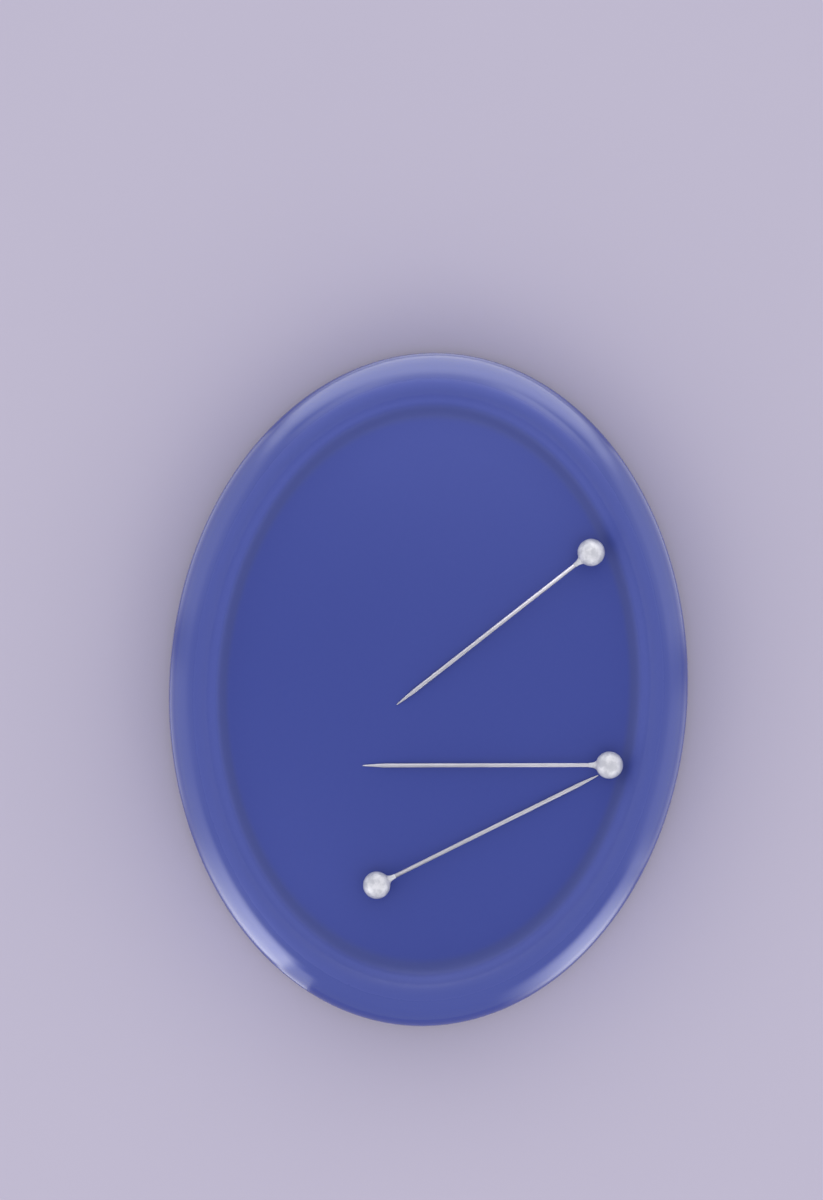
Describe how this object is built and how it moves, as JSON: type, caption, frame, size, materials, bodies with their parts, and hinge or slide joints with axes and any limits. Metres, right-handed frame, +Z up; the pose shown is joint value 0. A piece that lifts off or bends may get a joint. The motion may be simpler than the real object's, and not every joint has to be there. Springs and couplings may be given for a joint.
{
  "type": "magnetic pin cushion",
  "caption": "Oval plastic dish with a raised rounded rim and a flat floor over hidden magnets, holding round-headed dressmaking pins.",
  "frame": {"origin": "middle of the oval footprint, at the height of the table the feet stand on", "axes": "+Z up out of the dish, +Y along the oval, +X across it to the right"},
  "size_m": [0.076, 0.0986, 0.02],
  "materials": {
    "blue_plastic": "gloss",
    "cover_plastic": "satin",
    "ferrite": "matte",
    "zinc_steel": "satin",
    "foot_rubber": "matte",
    "pearl": "gloss",
    "pin_steel": "polished"
  },
  "bodies": {
    "cushion": {"dish_shell": "blue_plastic", "base_cover": "cover_plastic", "magnet_front": "ferrite", "magnet_rear": "ferrite", "keeper_plate": "zinc_steel", "screw_front": "zinc_steel", "screw_rear": "zinc_steel", "screw_left": "zinc_steel", "screw_right": "zinc_steel", "foot_front_left": "foot_rubber", "foot_front_right": "foot_rubber", "foot_rear_left": "foot_rubber", "foot_rear_right": "foot_rubber"},
    "pin_1": {"pin_1_head": "pearl", "pin_1_shank": "pin_steel"},
    "pin_2": {"pin_2_head": "pearl", "pin_2_shank": "pin_steel"},
    "pin_3": {"pin_3_head": "pearl", "pin_3_shank": "pin_steel"}
  },
  "joints": [
    {"name": "pin_1_lift", "type": "slide", "parent": "cushion", "child": "pin_1", "axis": [0, 0, 1], "range_m": [0, 0.06]},
    {"name": "pin_2_lift", "type": "slide", "parent": "cushion", "child": "pin_2", "axis": [0, 0, 1], "range_m": [0, 0.06]},
    {"name": "pin_3_lift", "type": "slide", "parent": "cushion", "child": "pin_3", "axis": [0, 0, 1], "range_m": [0, 0.06]}
  ]
}
